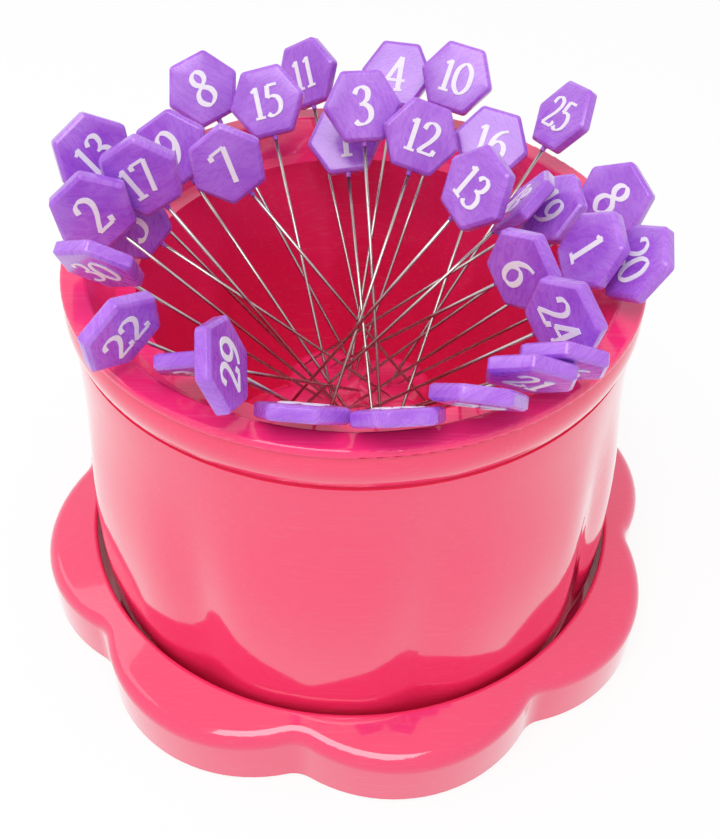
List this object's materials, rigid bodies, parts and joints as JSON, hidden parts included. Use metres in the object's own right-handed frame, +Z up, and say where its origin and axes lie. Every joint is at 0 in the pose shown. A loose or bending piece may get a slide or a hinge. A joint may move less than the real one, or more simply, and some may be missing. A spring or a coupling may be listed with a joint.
{
  "type": "magnetic pin bowl",
  "caption": "Flower-shaped magnetic pin bowl: a petalled double-walled cup on a scalloped saucer, holding flat-head sewing pins on a magnet tower.",
  "frame": {"origin": "on the cup's axis, on the surface that the saucer stands on", "axes": "+Z up along the cup's axis, +X to the right and +Y away from someone who looks at the front of the bowl"},
  "size_m": [0.0994, 0.0994, 0.078],
  "materials": {
    "saucer_pink": "glossy moulded plastic",
    "cup_pink": "glossy moulded plastic",
    "liner_pink": "glossy moulded plastic",
    "magnet_ferrite": "bare ferrite",
    "pin_violet": "pearly moulded plastic head on a polished steel shaft"
  },
  "bodies": {
    "saucer": {"flower_base": "saucer_pink"},
    "cup": {"cup_shell": "cup_pink", "inner_liner": "liner_pink", "magnet": "magnet_ferrite"},
    "pin_01": {"pin_01": "pin_violet"},
    "pin_02": {"pin_02": "pin_violet"},
    "pin_03": {"pin_03": "pin_violet"},
    "pin_04": {"pin_04": "pin_violet"},
    "pin_05": {"pin_05": "pin_violet"},
    "pin_06": {"pin_06": "pin_violet"},
    "pin_07": {"pin_07": "pin_violet"},
    "pin_08": {"pin_08": "pin_violet"},
    "pin_09": {"pin_09": "pin_violet"},
    "pin_10": {"pin_10": "pin_violet"},
    "pin_11": {"pin_11": "pin_violet"},
    "pin_12": {"pin_12": "pin_violet"},
    "pin_13": {"pin_13": "pin_violet"},
    "pin_14": {"pin_14": "pin_violet"},
    "pin_15": {"pin_15": "pin_violet"},
    "pin_16": {"pin_16": "pin_violet"},
    "pin_17": {"pin_17": "pin_violet"},
    "pin_18": {"pin_18": "pin_violet"},
    "pin_19": {"pin_19": "pin_violet"},
    "pin_20": {"pin_20": "pin_violet"},
    "pin_21": {"pin_21": "pin_violet"},
    "pin_22": {"pin_22": "pin_violet"},
    "pin_23": {"pin_23": "pin_violet"},
    "pin_24": {"pin_24": "pin_violet"},
    "pin_25": {"pin_25": "pin_violet"},
    "pin_26": {"pin_26": "pin_violet"},
    "pin_27": {"pin_27": "pin_violet"},
    "pin_28": {"pin_28": "pin_violet"},
    "pin_29": {"pin_29": "pin_violet"},
    "pin_30": {"pin_30": "pin_violet"},
    "pin_31": {"pin_31": "pin_violet"},
    "pin_32": {"pin_32": "pin_violet"},
    "pin_33": {"pin_33": "pin_violet"}
  },
  "joints": [
    {"name": "cup_lift", "type": "slide", "parent": "saucer", "child": "cup", "axis": [0, 0, 1], "range_m": [0, 0.03]},
    {"name": "pin_01_pull", "type": "slide", "parent": "cup", "child": "pin_01", "axis": [-0.5874, -0.0205, 0.809], "range_m": [0, 0.05]},
    {"name": "pin_02_pull", "type": "slide", "parent": "cup", "child": "pin_02", "axis": [-0.6349, -0.1006, 0.766], "range_m": [0, 0.05]},
    {"name": "pin_03_pull", "type": "slide", "parent": "cup", "child": "pin_03", "axis": [-0.5571, 0.0487, 0.829], "range_m": [0, 0.05]},
    {"name": "pin_04_pull", "type": "slide", "parent": "cup", "child": "pin_04", "axis": [-0.7546, -0.0132, 0.6561], "range_m": [0, 0.05]},
    {"name": "pin_05_pull", "type": "slide", "parent": "cup", "child": "pin_05", "axis": [-0.5647, 0.4255, 0.7071], "range_m": [0, 0.05]},
    {"name": "pin_06_pull", "type": "slide", "parent": "cup", "child": "pin_06", "axis": [-0.4851, 0.4217, 0.766], "range_m": [0, 0.05]},
    {"name": "pin_07_pull", "type": "slide", "parent": "cup", "child": "pin_07", "axis": [-0.6239, 0.2027, 0.7547], "range_m": [0, 0.05]},
    {"name": "pin_08_pull", "type": "slide", "parent": "cup", "child": "pin_08", "axis": [-0.2304, 0.6001, 0.766], "range_m": [0, 0.05]},
    {"name": "pin_09_pull", "type": "slide", "parent": "cup", "child": "pin_09", "axis": [-0.2333, 0.6409, 0.7314], "range_m": [0, 0.05]},
    {"name": "pin_10_pull", "type": "slide", "parent": "cup", "child": "pin_10", "axis": [-0.0818, 0.5821, 0.809], "range_m": [0, 0.05]},
    {"name": "pin_11_pull", "type": "slide", "parent": "cup", "child": "pin_11", "axis": [-0.1181, 0.7454, 0.6561], "range_m": [0, 0.05]},
    {"name": "pin_12_pull", "type": "slide", "parent": "cup", "child": "pin_12", "axis": [0.1391, 0.6545, 0.7431], "range_m": [0, 0.05]},
    {"name": "pin_13_pull", "type": "slide", "parent": "cup", "child": "pin_13", "axis": [0.3078, 0.5332, 0.788], "range_m": [0, 0.05]},
    {"name": "pin_14_pull", "type": "slide", "parent": "cup", "child": "pin_14", "axis": [0.2978, 0.5846, 0.7547], "range_m": [0, 0.05]},
    {"name": "pin_15_pull", "type": "slide", "parent": "cup", "child": "pin_15", "axis": [0.2988, 0.6409, 0.7071], "range_m": [0, 0.05]},
    {"name": "pin_16_pull", "type": "slide", "parent": "cup", "child": "pin_16", "axis": [0.5584, 0.0293, 0.829], "range_m": [0, 0.05]},
    {"name": "pin_17_pull", "type": "slide", "parent": "cup", "child": "pin_17", "axis": [0.5134, 0.3868, 0.766], "range_m": [0, 0.05]},
    {"name": "pin_18_pull", "type": "slide", "parent": "cup", "child": "pin_18", "axis": [0.6695, 0.1301, 0.7314], "range_m": [0, 0.05]},
    {"name": "pin_19_pull", "type": "slide", "parent": "cup", "child": "pin_19", "axis": [0.7259, -0.0891, 0.682], "range_m": [0, 0.05]},
    {"name": "pin_20_pull", "type": "slide", "parent": "cup", "child": "pin_20", "axis": [0.7192, 0.0126, 0.6947], "range_m": [0, 0.05]},
    {"name": "pin_21_pull", "type": "slide", "parent": "cup", "child": "pin_21", "axis": [0.6239, -0.2027, 0.7547], "range_m": [0, 0.05]},
    {"name": "pin_22_pull", "type": "slide", "parent": "cup", "child": "pin_22", "axis": [0.5965, -0.3306, 0.7314], "range_m": [0, 0.05]},
    {"name": "pin_23_pull", "type": "slide", "parent": "cup", "child": "pin_23", "axis": [0.5147, -0.4474, 0.7314], "range_m": [0, 0.05]},
    {"name": "pin_24_pull", "type": "slide", "parent": "cup", "child": "pin_24", "axis": [0.52, -0.4211, 0.7431], "range_m": [0, 0.05]},
    {"name": "pin_25_pull", "type": "slide", "parent": "cup", "child": "pin_25", "axis": [0.4181, -0.5548, 0.7193], "range_m": [0, 0.05]},
    {"name": "pin_26_pull", "type": "slide", "parent": "cup", "child": "pin_26", "axis": [0.4181, -0.5548, 0.7193], "range_m": [0, 0.05]},
    {"name": "pin_27_pull", "type": "slide", "parent": "cup", "child": "pin_27", "axis": [0.0739, -0.7032, 0.7071], "range_m": [0, 0.05]},
    {"name": "pin_28_pull", "type": "slide", "parent": "cup", "child": "pin_28", "axis": [-0.1569, -0.7382, 0.6561], "range_m": [0, 0.05]},
    {"name": "pin_29_pull", "type": "slide", "parent": "cup", "child": "pin_29", "axis": [0.2705, -0.7046, 0.6561], "range_m": [0, 0.05]},
    {"name": "pin_30_pull", "type": "slide", "parent": "cup", "child": "pin_30", "axis": [-0.3244, -0.5852, 0.7431], "range_m": [0, 0.05]},
    {"name": "pin_31_pull", "type": "slide", "parent": "cup", "child": "pin_31", "axis": [-0.5391, -0.3501, 0.766], "range_m": [0, 0.05]},
    {"name": "pin_32_pull", "type": "slide", "parent": "cup", "child": "pin_32", "axis": [-0.3999, -0.64, 0.6561], "range_m": [0, 0.05]},
    {"name": "pin_33_pull", "type": "slide", "parent": "cup", "child": "pin_33", "axis": [-0.3335, -0.5337, 0.7771], "range_m": [0, 0.05]}
  ]
}
